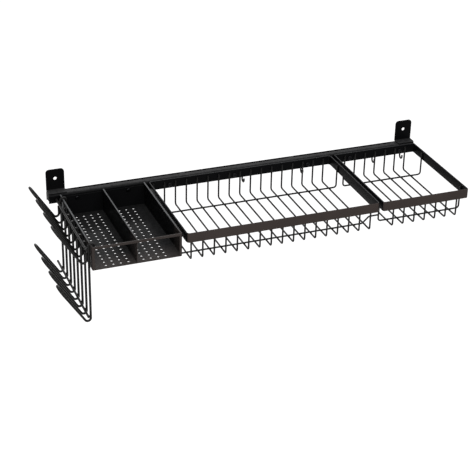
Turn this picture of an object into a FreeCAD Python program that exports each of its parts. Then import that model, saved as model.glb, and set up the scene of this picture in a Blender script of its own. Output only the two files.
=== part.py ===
# Wall dish rack: a steel beam on two wall brackets carries a cutlery box, a plate rack and a
# fruit basket. A mug rack hangs on the box's outer wall and loose hooks slide on a rail.
# Frame: origin midway between the two wall screw holes, on the wall's surface.
# X runs along the beam, Y points into the wall, Z points up. Lengths are millimetres.
import FreeCAD, Part
import Sketcher
import math
import os
import re

Vector = FreeCAD.Vector

os.makedirs("parts", exist_ok=True)
doc = FreeCAD.newDocument("wall_dish_rack")
sheet = doc.addObject("Spreadsheet::Sheet", "sizes")

# Driving sizes
SIZES = {
    # wall brackets
    "hole_spacing": 655,
    "hole_diameter": 6,
    "hole_above_beam": 22,
    "ear_width": 32,
    "ear_above_hole": 17,
    "ear_corner": 6,
    "bracket_wall": 2,
    "bracket_bend": 3,
    # folded beam and its long slots
    "beam_depth": 18,
    "beam_height": 16,
    "beam_wall": 1.5,
    "beam_bend": 4.5,
    "beam_rear_bend": 2,
    "slot_width": 4.5,
    "slot_rear_land": 2.2,
    "slot_bridge": 10,
    "slot_margin": 9,
    # hook rail under the beam, and the hooks on it
    "rail_diameter": 4,
    "rail_drop": 8,
    "rail_from_wall": 8.5,
    "rail_fit": 0.1,
    "tab_wall": 1.5,
    "tab_height": 11.5,
    "tab_from_wall": 7,
    "tab_clearance": 1,
    "hook_wire": 3,
    "hook_clearance": 0.3,
    "hook_shank": 20,
    "hook_crook": 4.5,
    "hook_tip": 3,
    # modules
    "module_drop": 1,
    "module_gap": 6.5,
    "box_inset": 18.5,
    "screw_drop": 11,
    # cutlery box
    "box_width": 150,
    "box_depth": 199,
    "box_height": 42,
    "box_wall": 1.2,
    "box_bend": 2,
    "box_rear_step": 5,
    "hem_height": 6,
    "window_rail": 4,
    "window_post": 4.5,
    "window_lip": 3,
    "floor_hole": 4,
    "floor_column_pitch": 12.5,
    "floor_row_pitch": 11,
    "floor_side_border": 24,
    "floor_first_row": 10.5,
    "floor_rear_border": 12,
    "divider_foot": 9,
    # rims of the plate rack and the fruit basket
    "basket_width": 162.5,
    "rim_depth": 203.5,
    "rim_height": 17,
    "rim_wall": 2,
    "rack_corner": 6,
    "basket_corner": 3.5,
    # basket wires
    "wire_diameter": 3,
    "wire_drop": 49,
    "wire_bend": 4,
    "wire_end_drop": 4,
    "plate_first_wire": 8,
    "plate_last_wire": 15,
    "fruit_first_wire": 21.5,
    "fruit_last_wire": 20,
    "runner_from_front": 22.5,
    "runner_from_rear": 38,
    "runner_bend": 5,
    "runner_jog": 11.5,
    "runner_jog_run": 12,
    "runner_jog_bend": 6,
    "runner_overhang": 3.5,
    # mug rack
    "mug_wire": 4,
    "mug_gap": 1,
    "mug_first_leg": 19,
    "mug_last_leg": 8.5,
    "mug_bend": 5,
    "mug_prong": 62,
    "mug_upper_drop": 26,
    "mug_lower_drop": 133,
    "mug_stem": 14,
    "mug_top_rail_drop": 7,
    "mug_low_rail_rise": 3,
    "mug_top_rail_end": 5,
    "mug_low_rail_end": 5,
    "mug_hook_bend": 4.5,
    "mug_hook_reach": 10,
    # screws
    "screw_diameter": 4,
    "screw_fit": 0.25,
    "screw_head": 7.5,
    "screw_head_height": 2.4,
    "screw_socket": 2.5,
    "screw_tail": 0.3,
    "nut_width": 7,
    "nut_height": 2.2,
    "nut_fit": 0.1,
    "joining_from_front": 8.5,
    # overrun of every cutting tool
    "overrun": 5,
}

# Counts and shares
KNIFE_SLOTS = 3
PLATE_WIRES = 17
FRUIT_WIRES = 7
MUG_PAIRS = 4
MUG_ANGLE = 57
NUT_SIDES = 6
HOOK_SHARES = (-0.53, 0.03, 0.36, 0.56, 0.775, 0.94)
SCREW_SHARES = {"box": (0.2, 0.8), "plate": (0.09375, 0.46875, 0.90625), "fruit": (0.0833, 0.9167)}
HEAD_ROUNDING_SHARE = 0.45
SOCKET_DEPTH_SHARE = 0.6
SHORTEST_RUN_SHARE = 0.001
HOOK_MOUTH_ANGLE = 210

# Places worked out from the driving sizes
PLACES = {
    "beam_half": "(hole_spacing + ear_width) / 2",
    "beam_top": "-hole_above_beam",
    "beam_front": "-beam_depth",
    "rim_top": "beam_top - module_drop",
    "box_left": "box_inset - beam_half",
    "box_right": "box_left + box_width",
    "box_front": "beam_front - box_depth",
    "box_bottom": "rim_top - box_height",
    "divider_middle": "box_left + box_width / 2",
    "rack_left": "box_right + module_gap",
    "rack_width": "beam_half * 2 - box_inset - box_width - basket_width - module_gap * 2",
    "rack_right": "rack_left + rack_width",
    "plate_left": "rack_left + plate_first_wire",
    "plate_span": "rack_width - plate_first_wire - plate_last_wire",
    "basket_left": "rack_right + module_gap",
    "basket_right": "basket_left + basket_width",
    "fruit_left": "basket_left + fruit_first_wire",
    "fruit_span": "basket_width - fruit_first_wire - fruit_last_wire",
    "rim_front": "beam_front - rim_depth",
    "rim_bottom": "rim_top - rim_height",
    "wire_radius": "wire_diameter / 2",
    "wire_low": "rim_top - wire_drop",
    "wire_high": "rim_top - wire_end_drop",
    "wire_front": "rim_front + rim_wall + wire_radius",
    "wire_rear": "beam_front - rim_wall - wire_radius",
    "runner_level": "wire_low + wire_diameter",
    "rail_level": "beam_top - rail_drop",
    "screw_level": "beam_top - screw_drop",
    "screw_hole": "screw_diameter + screw_fit * 2",
    "joining_level": "rim_top - rim_height / 2",
    "joining_place": "rim_front + joining_from_front",
    "tab_front": "beam_front + beam_wall + nut_height + screw_tail + tab_clearance",
    "mug_leg": "box_left - mug_gap - mug_wire / 2",
    "mug_pitch": "(box_depth - mug_first_leg - mug_last_leg) / %d" % (MUG_PAIRS * 2 - 1),
}
for module, left, width in (("box", "box_left", "box_width"), ("plate", "plate_left", "plate_span"),
                            ("fruit", "fruit_left", "fruit_span")):
    for number, share in enumerate(SCREW_SHARES[module], start=1):
        PLACES["%s_screw_%d" % (module, number)] = "%s + %s * %s" % (left, width, share)

for row, (name, content) in enumerate(SIZES.items(), start=1):
    sheet.set("A%d" % row, name)
    sheet.set("B%d" % row, str(content))
    sheet.setAlias("B%d" % row, name)
for row, (name, content) in enumerate(PLACES.items(), start=len(SIZES) + 1):
    sheet.set("A%d" % row, name)
    sheet.set("B%d" % row, "=" + content)
    sheet.setAlias("B%d" % row, name)
doc.recompute()


def size(name):
    """Value of one named cell."""
    return float(sheet.get(name))


def bind(formula):
    """Point every size name in a formula at its cell."""
    return re.sub(r"[a-z][a-z_]+", lambda found: "sizes." + found.group(), formula)


# Building blocks
def block(name, x, y, z, length, width, height):
    """Box whose low corner and sides are bound to the sheet."""
    item = doc.addObject("Part::Box", name)
    for side, formula in zip(("Length", "Width", "Height"), (length, width, height)):
        item.setExpression(side, bind(formula))
    for axis, formula in zip("xyz", (x, y, z)):
        item.setExpression("Placement.Base." + axis, bind(formula))
    return item


def rod(name, diameter, length, x, y, z, turn):
    """Cylinder along X, Y or Z, from its low end."""
    item = doc.addObject("Part::Cylinder", name)
    item.setExpression("Radius", bind(diameter) + " / 2")
    item.setExpression("Height", bind(length))
    turns = {"X": (Vector(0, 1, 0), 90), "Y": (Vector(1, 0, 0), -90), "Z": (Vector(0, 0, 1), 0)}
    item.Placement.Rotation = FreeCAD.Rotation(*turns[turn])
    for axis, formula in zip("xyz", (x, y, z)):
        item.setExpression("Placement.Base." + axis, bind(formula))
    return item


def joined(name, pieces):
    item = doc.addObject("Part::MultiFuse", name)
    item.Shapes = pieces
    return item


def cut(name, base, tools):
    item = doc.addObject("Part::Cut", name)
    item.Base = base
    item.Tool = tools[0] if len(tools) == 1 else joined(name + "_tools", tools)
    return item


def rounded(name, base, radius, picks):
    """Fillet the straight edges of a block that run along the picked axes."""
    doc.recompute()
    item = doc.addObject("Part::Fillet", name)
    item.Base = base
    chosen = []
    for number, edge in enumerate(base.Shape.Edges, start=1):
        if picks(edge):
            chosen.append((number, radius, radius))
    item.Edges = chosen
    return item


def upright(edge):
    low, high = edge.Vertexes[0].Point, edge.Vertexes[-1].Point
    return abs(low.z - high.z) > abs(low.x - high.x) + abs(low.y - high.y)


def solid(name, shape):
    item = doc.addObject("Part::Feature", name)
    item.Shape = shape
    return item


def bent_wire(points, diameter, bends):
    """Round wire along straight runs joined by tangent arcs, one bend radius per inner point."""
    edges = []
    last = points[0]
    for before, point, after, bend in zip(points, points[1:], points[2:], bends):
        inward = (point - before).normalize()
        outward = (after - point).normalize()
        turn = inward.getAngle(outward)
        reach = bend * math.tan(turn / 2)
        start = point - inward * reach
        end = point + outward * reach
        middle = (outward - inward).normalize()
        top = point + middle * (bend / math.cos(turn / 2) - bend)
        if start.distanceToPoint(last) > diameter * SHORTEST_RUN_SHARE:
            edges.append(Part.LineSegment(last, start).toShape())
        edges.append(Part.Arc(start, top, end).toShape())
        last = end
    edges.append(Part.LineSegment(last, points[-1]).toShape())
    profile = Part.Wire(Part.makeCircle(diameter / 2, points[0], points[1] - points[0]))
    return Part.Wire(edges).makePipeShell([profile], True, False)


def pan_screw(face, direction, grip):
    """Screw with its head on a face point, its shank running along the direction."""
    head_height = size("screw_head_height")
    head = Part.makeCylinder(size("screw_head") / 2, head_height, Vector(), Vector(0, 0, 1))
    rims = [edge for edge in head.Edges if edge.Closed and edge.CenterOfMass.z > head_height / 2]
    head = head.makeFillet(head_height * HEAD_ROUNDING_SHARE, rims)
    shank_length = grip + size("screw_tail")
    shank = Part.makeCylinder(size("screw_diameter") / 2, shank_length, Vector(), Vector(0, 0, -1))
    socket = prism(size("screw_socket"), head_height)
    socket.translate(Vector(0, 0, head_height * (1 - SOCKET_DEPTH_SHARE)))
    screw = head.fuse(shank).cut(socket).removeSplitter()
    screw.Placement = FreeCAD.Placement(face, FreeCAD.Rotation(Vector(0, 0, -1), direction))
    return screw


def prism(width, height):
    """Upright six-sided prism, measured across its flats."""
    corner = width / 2 / math.cos(math.pi / NUT_SIDES)
    ring = []
    for step in range(NUT_SIDES + 1):
        angle = 2 * math.pi * step / NUT_SIDES
        ring.append(Vector(corner * math.cos(angle), corner * math.sin(angle), 0))
    return Part.Face(Part.makePolygon(ring)).extrude(Vector(0, 0, height))


def new_body(label):
    body = doc.addObject("PartDesign::Body", label)
    body.Label = label
    return body


def new_sketch(body, name, role, offset=None):
    """Sketch on one of the body's own origin planes, moved along its normal by a formula."""
    sketch = body.newObject("Sketcher::SketchObject", name)
    plane = [item for item in body.Origin.OriginFeatures if item.Role == role][0]
    sketch.AttachmentSupport = [(plane, "")]
    sketch.MapMode = "FlatFace"
    if offset:
        sketch.setExpression("AttachmentOffset.Base.z", bind(offset))
    return sketch


def place_point(sketch, geometry, end, across, along):
    """Hold one sketch point at two formulas, measured from the sketch's origin."""
    for kind, formula in (("DistanceX", across), ("DistanceY", along)):
        index = sketch.addConstraint(Sketcher.Constraint(kind, -1, 1, geometry, end, 1.0))
        sketch.setExpression("Constraints[%d]" % index, bind(formula))


def outline(sketch, corners):
    """Closed outline of straight lines through corners given as pairs of formulas."""
    first = len(sketch.Geometry)
    count = len(corners)
    guesses = [Vector(math.cos(2 * math.pi * step / count), math.sin(2 * math.pi * step / count), 0)
               for step in range(count)]
    for step in range(count):
        sketch.addGeometry(Part.LineSegment(guesses[step], guesses[(step + 1) % count]), False)
    for step in range(count):
        sketch.addConstraint(Sketcher.Constraint("Coincident", first + step, 2, first + (step + 1) % count, 1))
    for step, (across, along) in enumerate(corners):
        place_point(sketch, first + step, 1, across, along)


def rectangle(sketch, low_across, low_along, high_across, high_along):
    corners = [(low_across, low_along), (high_across, low_along), (high_across, high_along), (low_across, high_along)]
    outline(sketch, corners)


def circle(sketch, across, along, diameter):
    geometry = sketch.addGeometry(Part.Circle(Vector(), Vector(0, 0, 1), 1.0), False)
    place_point(sketch, geometry, 3, across, along)
    index = sketch.addConstraint(Sketcher.Constraint("Diameter", geometry, 1.0))
    sketch.setExpression("Constraints[%d]" % index, bind(diameter))


def pad(body, sketch, length, both_ways=False):
    feature = body.newObject("PartDesign::Pad", sketch.Name + "_pad")
    feature.Profile = sketch
    feature.setExpression("Length", bind(length))
    feature.Midplane = both_ways
    sketch.Visibility = False
    return feature


def pocket_through(body, sketch, length=None):
    """Cut to both sides of the sketch, all the way or a length in all, and check that something was cut."""
    doc.recompute()
    before = body.Shape.Volume
    feature = body.newObject("PartDesign::Pocket", sketch.Name + "_pocket")
    feature.Profile = sketch
    feature.Type = "Length" if length else "ThroughAll"
    if length:
        feature.setExpression("Length", bind(length))
    feature.Midplane = True
    doc.recompute()
    if body.Shape.Volume >= before:
        raise RuntimeError(sketch.Name + " cut nothing")
    return feature


def fillet(body, name, radius, picks):
    doc.recompute()
    tip = body.Tip
    names = ["Edge%d" % number for number, edge in enumerate(tip.Shape.Edges, start=1) if picks(edge)]
    feature = body.newObject("PartDesign::Fillet", name)
    feature.Base = (tip, names)
    feature.setExpression("Radius", bind(radius))
    return feature


# Wall brackets: an ear screwed to the wall, folded into a foot that lies on the beam
def wall_bracket(label, side):
    body = new_body(label)
    profile = new_sketch(body, label + "_profile", "YZ_Plane", side + "hole_spacing / 2")
    outline(profile, [
        ("0", "beam_top"),
        ("0", "ear_above_hole"),
        ("-bracket_wall", "ear_above_hole"),
        ("-bracket_wall", "beam_top + bracket_wall"),
        ("beam_front", "beam_top + bracket_wall"),
        ("beam_front", "beam_top"),
    ])
    pad(body, profile, "ear_width", both_ways=True)
    top = size("ear_above_hole")
    wall = size("bracket_wall")

    def ear_corner(edge):
        middle = edge.CenterOfMass
        return abs(middle.z - top) < wall / 2 and edge.Length < wall * 1.5

    def fold(edge):
        middle = edge.CenterOfMass
        return abs(middle.y) < wall / 2 and abs(middle.z - size("beam_top")) < wall / 2 and edge.Length > wall * 2

    def foot_corner(edge):
        middle = edge.CenterOfMass
        return abs(middle.y - size("beam_front")) < wall / 2 and upright(edge)

    fillet(body, label + "_ear_corners", "ear_corner", ear_corner)
    fillet(body, label + "_fold", "bracket_bend", fold)
    fillet(body, label + "_foot_corners", "bracket_bend", foot_corner)
    holes = new_sketch(body, label + "_hole", "XZ_Plane")
    circle(holes, side + "hole_spacing / 2", "0", "hole_diameter")
    pocket_through(body, holes)


# Beam: a channel that is open below, its top slotted
def rear_beam():
    body = new_body("rear_beam")
    profile = new_sketch(body, "beam_profile", "YZ_Plane")
    outline(profile, [
        ("0", "beam_top"),
        ("beam_front", "beam_top"),
        ("beam_front", "beam_top - beam_height"),
        ("beam_front + beam_wall", "beam_top - beam_height"),
        ("beam_front + beam_wall", "beam_top - beam_wall"),
        ("-beam_wall", "beam_top - beam_wall"),
        ("-beam_wall", "beam_top - beam_height"),
        ("0", "beam_top - beam_height"),
    ])
    pad(body, profile, "hole_spacing + ear_width", both_ways=True)
    wall = size("beam_wall")
    top = size("beam_top")

    def long_edge(y, z):
        return lambda edge: (edge.CenterOfMass - Vector(0, y, z)).Length < wall / 2

    fillet(body, "beam_front_outer", "beam_bend", long_edge(size("beam_front"), top))
    fillet(body, "beam_front_inner", "beam_bend - beam_wall", long_edge(size("beam_front") + wall, top - wall))
    fillet(body, "beam_rear_outer", "beam_rear_bend", long_edge(0, top))
    fillet(body, "beam_rear_inner", "beam_rear_bend - beam_wall", long_edge(-wall, top - wall))
    slots = new_sketch(body, "knife_slots", "XY_Plane")
    first = "(ear_width / 2 - hole_spacing / 2 + slot_margin)"
    length = "((hole_spacing - ear_width - slot_margin * 2 - slot_bridge * %d) / %d)" % (KNIFE_SLOTS - 1, KNIFE_SLOTS)
    for number in range(KNIFE_SLOTS):
        start = "%s + (%s + slot_bridge) * %d" % (first, length, number)
        rectangle(slots, start, "-slot_rear_land - slot_width", start + " + " + length, "-slot_rear_land")
    pocket_through(body, slots)
    holes = new_sketch(body, "module_screw_holes", "XZ_Plane", "beam_depth")
    for module in SCREW_SHARES:
        for place in screw_places(module):
            circle(holes, place, "screw_level", "screw_hole")
    pocket_through(body, holes, "beam_depth")


def screw_places(module):
    """Names of the cells that hold a module's screw places along the beam."""
    return ["%s_screw_%d" % (module, number) for number in range(1, len(SCREW_SHARES[module]) + 1)]


def module_fasteners():
    """Screws through each module's rear wall and the beam's face, with a nut behind it."""
    screws = []
    nuts = []
    for module in SCREW_SHARES:
        wall = size("box_wall") if module == "box" else size("rim_wall")
        for place in screw_places(module):
            seat = Vector(size(place), size("beam_front") - wall, size("screw_level"))
            screws.append(pan_screw(seat, Vector(0, 1, 0), wall + size("beam_wall") + size("nut_height")))
            back = Vector(size(place), size("beam_front") + size("beam_wall"), size("screw_level"))
            nuts.append(hex_nut(back, Vector(0, 1, 0)))
    solid("module_screws", Part.makeCompound(screws))
    solid("module_nuts", Part.makeCompound(nuts))


def hex_nut(face, direction):
    """Nut standing on a face point, its bore along the direction."""
    nut = prism(size("nut_width"), size("nut_height"))
    nut = nut.cut(Part.makeCylinder(size("screw_diameter") / 2 + size("nut_fit"), size("nut_height")))
    nut.Placement = FreeCAD.Placement(face, FreeCAD.Rotation(Vector(0, 0, 1), direction))
    return nut


# Hook rail: a rod in welded tabs under the beam, with loose hooks
def tab_starts():
    bridge = "(hole_spacing / 2 - ear_width / 2 - slot_margin) / %d" % KNIFE_SLOTS
    inner = bridge + " - slot_bridge / %d + slot_bridge / 2 - tab_wall / 2" % KNIFE_SLOTS
    return ["-beam_half", "-(%s) - tab_wall" % inner, inner, "beam_half - tab_wall"]


def hook_rail():
    rod("hook_rail", "rail_diameter", "beam_half * 2", "-beam_half", "-rail_from_wall", "rail_level", "X")
    tabs = []
    for number, start in enumerate(tab_starts(), start=1):
        plate = block("tab_plate_%d" % number, start, "tab_front", "beam_top - beam_wall - tab_height",
                      "tab_wall", "-tab_from_wall - tab_front", "tab_height")
        hole = rod("tab_hole_%d" % number, "(rail_diameter + rail_fit * 2)", "tab_wall + overrun * 2",
                   start + " - overrun", "-rail_from_wall", "rail_level", "X")
        tabs.append(cut("rail_tab_%d" % number, plate, [hole]))
    group = doc.addObject("Part::Compound", "hook_rail_tabs")
    group.Links = tabs


def sliding_hooks():
    """S hooks: a crook round the rail, a shank beside the wall, an open crook below."""
    wire = size("hook_wire")
    upper = size("rail_diameter") / 2 + size("hook_clearance") + wire / 2
    lower = size("hook_crook")
    eye_y, eye_z = -size("rail_from_wall"), size("rail_level")
    low_z = eye_z - size("hook_shank")

    def on_circle(x, y, z, radius, degrees):
        angle = math.radians(degrees)
        return Vector(x, y + radius * math.cos(angle), z + radius * math.sin(angle))

    for number, share in enumerate(HOOK_SHARES, start=1):
        x = share * size("beam_half")
        start = on_circle(x, eye_y, eye_z, upper, HOOK_MOUTH_ANGLE)
        top = on_circle(x, eye_y, eye_z, upper, 90)
        shank_top = on_circle(x, eye_y, eye_z, upper, 0)
        crook_y = eye_y + upper - lower
        shank_low = Vector(x, crook_y + lower, low_z)
        belly = Vector(x, crook_y, low_z - lower)
        tip_low = Vector(x, crook_y - lower, low_z)
        tip = tip_low + Vector(0, 0, size("hook_tip"))
        edges = [
            Part.Arc(start, top, shank_top).toShape(),
            Part.LineSegment(shank_top, shank_low).toShape(),
            Part.Arc(shank_low, belly, tip_low).toShape(),
            Part.LineSegment(tip_low, tip).toShape(),
        ]
        mouth = math.radians(HOOK_MOUTH_ANGLE)
        heading = Vector(0, math.sin(mouth), -math.cos(mouth))
        profile = Part.Wire(Part.makeCircle(wire / 2, start, heading))
        solid("s_hook_%d" % number, Part.Wire(edges).makePipeShell([profile], True, False))


def screw_holes(module):
    """Tools that cut a module's screw holes through its rear wall."""
    return [rod(place + "_hole", "screw_hole", "overrun * 2", place, "beam_front - overrun", "screw_level", "Y")
            for place in screw_places(module)]


# Cutlery box: folded sheet with a perforated floor and an open front window
def cutlery_box():
    wall = size("box_wall")
    floor = size("box_bottom")
    outer_block = block("box_block", "box_left", "box_front", "box_bottom", "box_width", "box_depth", "box_height")
    outer = rounded("box_outer", outer_block, size("box_bend"),
                    lambda edge: upright(edge) or edge.CenterOfMass.z < floor + wall)
    hollow = block("box_hollow", "box_left + box_wall", "box_front + box_wall", "box_bottom + box_wall",
                   "box_width - box_wall * 2", "box_depth - box_wall * 2", "box_height + overrun")
    inner = rounded("box_inner", hollow, size("box_bend") - wall,
                    lambda edge: upright(edge) or edge.CenterOfMass.z < floor + wall * 1.5)
    rear_step = block("box_rear_gap", "box_left + box_bend", "beam_front - box_bend", "rim_top - box_rear_step",
                      "box_width - box_bend * 2", "box_bend + overrun", "box_rear_step + overrun")
    window = block("box_window", "box_left + window_post", "box_front - overrun", "box_bottom + window_lip",
                   "box_width - window_post * 2", "overrun + box_bend", "box_height - window_lip - window_rail")
    shell = cut("box_shell", outer, [inner, rear_step, window])
    hems = []
    for side, start in (("left", "box_left + box_wall"), ("right", "box_right - box_wall * 2")):
        hems.append(block("box_hem_" + side, start, "box_front + box_wall", "rim_top - hem_height",
                          "box_wall", "box_depth - box_wall * 2", "hem_height"))
    hems.append(block("box_hem_front", "box_left + box_wall", "box_front + box_wall", "rim_top - window_rail",
                      "box_width - box_wall * 2", "box_wall", "window_rail"))
    walls = joined("box_walls", [shell] + hems)
    cut("cutlery_box", walls, [floor_holes()] + screw_holes("box"))


def floor_holes():
    """Rows of drain holes from the front backwards, to both sides of the divider and its foot."""
    across = size("floor_column_pitch")
    along = size("floor_row_pitch")
    columns = int((size("box_width") / 2 - size("floor_side_border")) / across)
    rows = int((size("box_depth") - size("floor_first_row") - size("floor_rear_border")) / along) + 1
    low = size("box_bottom") - size("overrun")
    first = Vector(size("divider_middle"), size("box_front") + size("floor_first_row"), low)
    drill = Part.makeCylinder(size("floor_hole") / 2, size("overrun") * 2)
    holes = []
    for column in range(1, columns + 1):
        for side in (-1, 1):
            for row in range(rows):
                hole = drill.copy()
                hole.translate(first + Vector(side * column * across, row * along, 0))
                holes.append(hole)
    return solid("floor_holes", Part.makeCompound(holes))


def cutlery_divider():
    """Folded sheet: web, top hem and a foot spot-welded to the floor."""
    low = "box_bottom + box_wall"
    depth = "box_depth - box_wall * 2 - box_bend"
    front = "box_front + box_wall * 2"
    web = block("divider_web", "divider_middle - box_wall / 2", front, low,
                "box_wall", depth, "box_height - box_wall")
    hem = block("divider_hem", "divider_middle + box_wall / 2", front, "rim_top - hem_height",
                "box_wall", depth, "hem_height")
    foot = block("divider_foot_fold", "divider_middle + box_wall / 2", front, low,
                 "divider_foot", depth, "box_wall")
    joined("cutlery_divider", [web, hem, foot])


# Rims: flat bar bent into a closed loop and screwed to the beam
def rim(label, left, width, corner, extra_holes):
    outer_block = block(label + "_block", left, "rim_front", "rim_bottom", width, "rim_depth", "rim_height")
    outer = rounded(label + "_outer", outer_block, size(corner), upright)
    hollow = block(label + "_hollow", left + " + rim_wall", "rim_front + rim_wall", "rim_bottom - overrun",
                   width + " - rim_wall * 2", "rim_depth - rim_wall * 2", "rim_height + overrun * 2")
    inner = rounded(label + "_inner", hollow, size(corner) - size("rim_wall"), upright)
    cut(label, outer, [inner] + extra_holes)


def joining_hole(label, start):
    """Hole through a side bar, in line with the neighbouring rim's, for a bolt that links the two."""
    return rod(label + "_joining_hole", "screw_hole", "overrun * 2", start + " - overrun",
               "joining_place", "joining_level", "X")


def cross_wire(label, x):
    """Wire bent into a square-cornered U between the rim's front and rear bars."""
    points = [
        Vector(x, size("wire_front"), size("wire_high")),
        Vector(x, size("wire_front"), size("wire_low")),
        Vector(x, size("wire_rear"), size("wire_low")),
        Vector(x, size("wire_rear"), size("wire_high")),
    ]
    return solid(label, bent_wire(points, size("wire_diameter"), [size("wire_bend")] * 2))


def runner(label, left, right, y):
    """Long wire on top of the cross wires, its ends turned up inside the rim's side bars."""
    inset = size("rim_wall") + size("wire_radius")
    points = [
        Vector(left + inset, y, size("wire_high")),
        Vector(left + inset, y, size("runner_level")),
        Vector(right - inset, y, size("runner_level")),
        Vector(right - inset, y, size("wire_high")),
    ]
    return solid(label, bent_wire(points, size("wire_diameter"), [size("runner_bend")] * 2))


def linking_runner(label, y):
    """Front runner of the plate rack: it steps up on the right and meets the basket's runner."""
    level = size("runner_level")
    raised = level + size("runner_jog")
    end = size("basket_left") + size("rim_wall")
    jog_end = size("rack_right") - size("rim_wall") - size("rack_corner")
    jog_start = jog_end - size("runner_jog_run")
    points = [
        Vector(size("rack_left") - size("runner_overhang"), y, level),
        Vector(jog_start, y, level),
        Vector(jog_end, y, raised),
        Vector(end, y, raised),
    ]
    return solid(label, bent_wire(points, size("wire_diameter"), [size("runner_jog_bend")] * 2))


def plate_rack():
    holes = screw_holes("plate") + [joining_hole("plate_rack", "rack_right")]
    rim("plate_rack_rim", "rack_left", "rack_width", "rack_corner", holes)
    pitch = size("plate_span") / (PLATE_WIRES - 1)
    for number in range(PLATE_WIRES):
        cross_wire("plate_wire_%02d" % (number + 1), size("plate_left") + pitch * number)
    linking_runner("plate_rack_front_runner", size("rim_front") + size("runner_from_front"))
    rear = size("beam_front") - size("runner_from_rear")
    runner("plate_rack_rear_runner", size("rack_left"), size("rack_right"), rear)


def fruit_basket():
    left = size("basket_left")
    right = size("basket_right")
    holes = screw_holes("fruit") + [joining_hole("fruit_basket", "basket_left")]
    rim("fruit_basket_rim", "basket_left", "basket_width", "basket_corner", holes)
    pitch = size("fruit_span") / (FRUIT_WIRES - 1)
    for number in range(FRUIT_WIRES):
        cross_wire("fruit_wire_%d" % (number + 1), size("fruit_left") + pitch * number)
    runner("fruit_basket_front_runner", left, right, size("rim_front") + size("runner_from_front"))
    runner("fruit_basket_rear_runner", left, right, size("beam_front") - size("runner_from_rear"))


# Mug rack: bent wire holders on two rails, hung on the box's outer wall
def prong_points(x, y_near, y_far, centre_z):
    """Points of a holder from the fold below one leg, out along the prong and back."""
    angle = math.radians(MUG_ANGLE)
    turn = math.pi / 2 + angle
    reach = size("mug_bend") * math.tan(turn / 2)
    length = reach + size("mug_prong") + size("mug_pitch") / 2
    fold = Vector(x, 0, centre_z - reach)
    tip = fold + Vector(-math.cos(angle), 0, math.sin(angle)) * length
    return [
        Vector(x, y_near, fold.z),
        Vector(tip.x, y_near, tip.z),
        Vector(tip.x, y_far, tip.z),
        Vector(x, y_far, fold.z),
    ]


def mug_leg_places():
    start = size("beam_front") - size("mug_first_leg")
    return [start - size("mug_pitch") * number for number in range(MUG_PAIRS * 2)]


def hook_points(x, y):
    """Crook over the box's wall: end inside the box, then the top of the crook."""
    bend = size("mug_hook_bend")
    inner = bend - size("mug_wire") / 2 - size("hook_clearance")
    reach = abs(x + bend - size("box_left"))
    crest = size("rim_top") - math.sqrt(inner ** 2 - reach ** 2) + bend
    return [
        Vector(x + bend * 2, y, crest - bend - size("mug_hook_reach")),
        Vector(x + bend * 2, y, crest),
        Vector(x, y, crest),
    ]


def mug_rack():
    legs = mug_leg_places()
    wire = size("mug_wire")
    bend = size("mug_bend")
    tip_bend = size("mug_pitch") / 2
    hook_bend = size("mug_hook_bend")
    x = size("mug_leg")
    leg_top = size("beam_top") - size("mug_top_rail_drop") + wire / 2
    upper_x = x - wire
    for pair in range(MUG_PAIRS):
        near, far = legs[pair * 2], legs[pair * 2 + 1]
        start, bends_before = [Vector(x, near, leg_top)], []
        end, bends_after = [Vector(x, far, leg_top)], []
        if pair == 0:
            start, bends_before = hook_points(x, near), [hook_bend] * 2
        if pair == MUG_PAIRS - 1:
            end, bends_after = hook_points(x, far)[::-1], [hook_bend] * 2
        points = start + prong_points(x, near, far, size("beam_top") - size("mug_lower_drop")) + end
        bends = bends_before + [bend, tip_bend, tip_bend, bend] + bends_after
        solid("mug_holder_lower_%d" % (pair + 1), bent_wire(points, wire, bends))
        centre_z = size("beam_top") - size("mug_upper_drop")
        stem_top = centre_z + size("mug_stem")
        stems = [Vector(upper_x, near, stem_top), Vector(upper_x, far, stem_top)]
        points = stems[:1] + prong_points(upper_x, near, far, centre_z) + stems[1:]
        solid("mug_holder_upper_%d" % (pair + 1), bent_wire(points, wire, [bend, tip_bend, tip_bend, bend]))
    front = legs[-1] - wire / 2
    level = size("beam_top") - size("mug_top_rail_drop")
    length = size("beam_front") - size("mug_top_rail_end") - front
    solid("mug_rack_top_rail", Part.makeCylinder(wire / 2, length, Vector(upper_x, front, level), Vector(0, 1, 0)))
    level = size("beam_top") - size("mug_lower_drop") + size("mug_low_rail_rise")
    length = size("beam_front") + size("mug_low_rail_end") - front
    solid("mug_rack_low_rail", Part.makeCylinder(wire / 2, length, Vector(upper_x, front, level), Vector(0, 1, 0)))


wall_bracket("wall_bracket_left", "-")
wall_bracket("wall_bracket_right", "")
rear_beam()
hook_rail()
sliding_hooks()
cutlery_box()
cutlery_divider()
plate_rack()
fruit_basket()
module_fasteners()
mug_rack()
doc.recompute()

NODES = ["wall_bracket_left", "wall_bracket_right", "rear_beam", "hook_rail", "hook_rail_tabs",
         "cutlery_box", "cutlery_divider", "plate_rack_rim", "plate_rack_front_runner", "plate_rack_rear_runner",
         "fruit_basket_rim", "fruit_basket_front_runner", "fruit_basket_rear_runner",
         "module_screws", "module_nuts", "mug_rack_top_rail", "mug_rack_low_rail"]
NODES += ["s_hook_%d" % number for number in range(1, len(HOOK_SHARES) + 1)]
NODES += ["plate_wire_%02d" % number for number in range(1, PLATE_WIRES + 1)]
NODES += ["fruit_wire_%d" % number for number in range(1, FRUIT_WIRES + 1)]
for place in ("lower", "upper"):
    NODES += ["mug_holder_%s_%d" % (place, number) for number in range(1, MUG_PAIRS + 1)]

# Every object and every sub-part is checked before anything is written
for item in doc.Objects:
    if "Invalid" in item.State or "Error" in item.State:
        raise RuntimeError("failed object: " + item.Name)
for name in NODES:
    shape = doc.getObject(name).Shape
    if shape.isNull() or not shape.isValid():
        raise RuntimeError("bad shape: " + name)
for name in NODES:
    item = doc.getObject(name)
    item.Label = name
    item.Shape.exportStep("parts/%s.step" % name)
print(len(NODES), "sub-parts written")
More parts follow.
